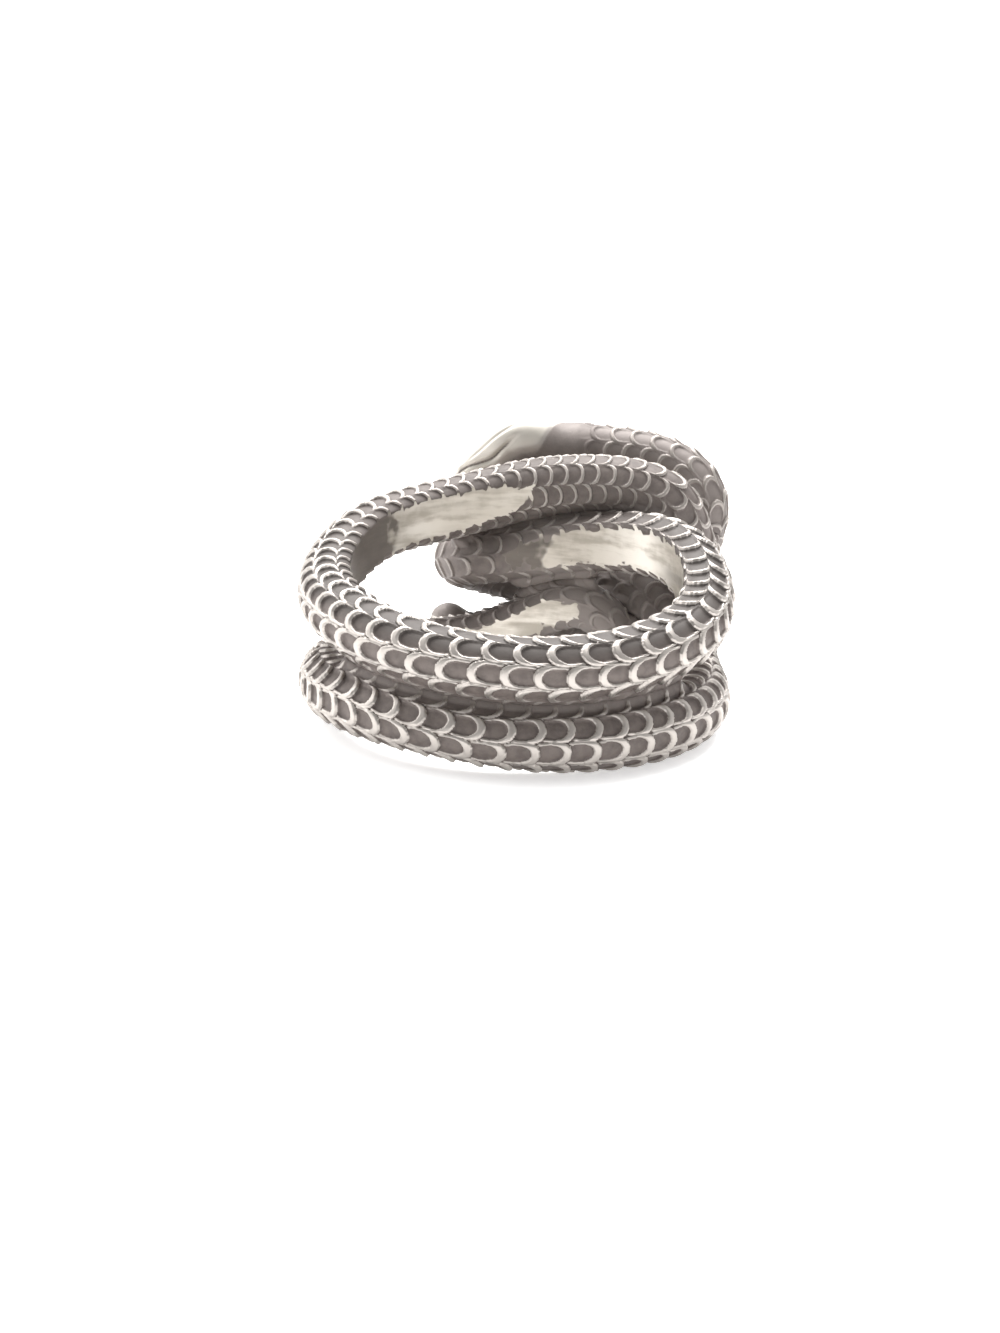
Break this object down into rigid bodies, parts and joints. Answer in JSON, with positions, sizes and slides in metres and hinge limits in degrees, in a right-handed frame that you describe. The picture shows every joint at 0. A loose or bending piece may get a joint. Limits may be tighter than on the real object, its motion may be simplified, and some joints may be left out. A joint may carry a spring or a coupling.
{
  "type": "snake ring",
  "caption": "Finger ring cast in one piece as a scaled snake that winds round the finger, with its head and tail doubled back behind the turns.",
  "frame": {"origin": "on the axis of the finger hole, 6.7 mm above the lowest point of the ring lying on its side", "axes": "+Z along the finger hole, up as the ring lies on its side; +Y towards the side where the head and tail lie behind the turns; +X to the right in the picture"},
  "size_m": [0.0244, 0.0293, 0.0141],
  "materials": {
    "silver": "warm white cast silver, worn bright on the scale rims and polished flat in the finger hole, darkened in the pockets between the rims"
  },
  "bodies": {
    "root": {"snake_ring": "silver"}
  },
  "joints": []
}
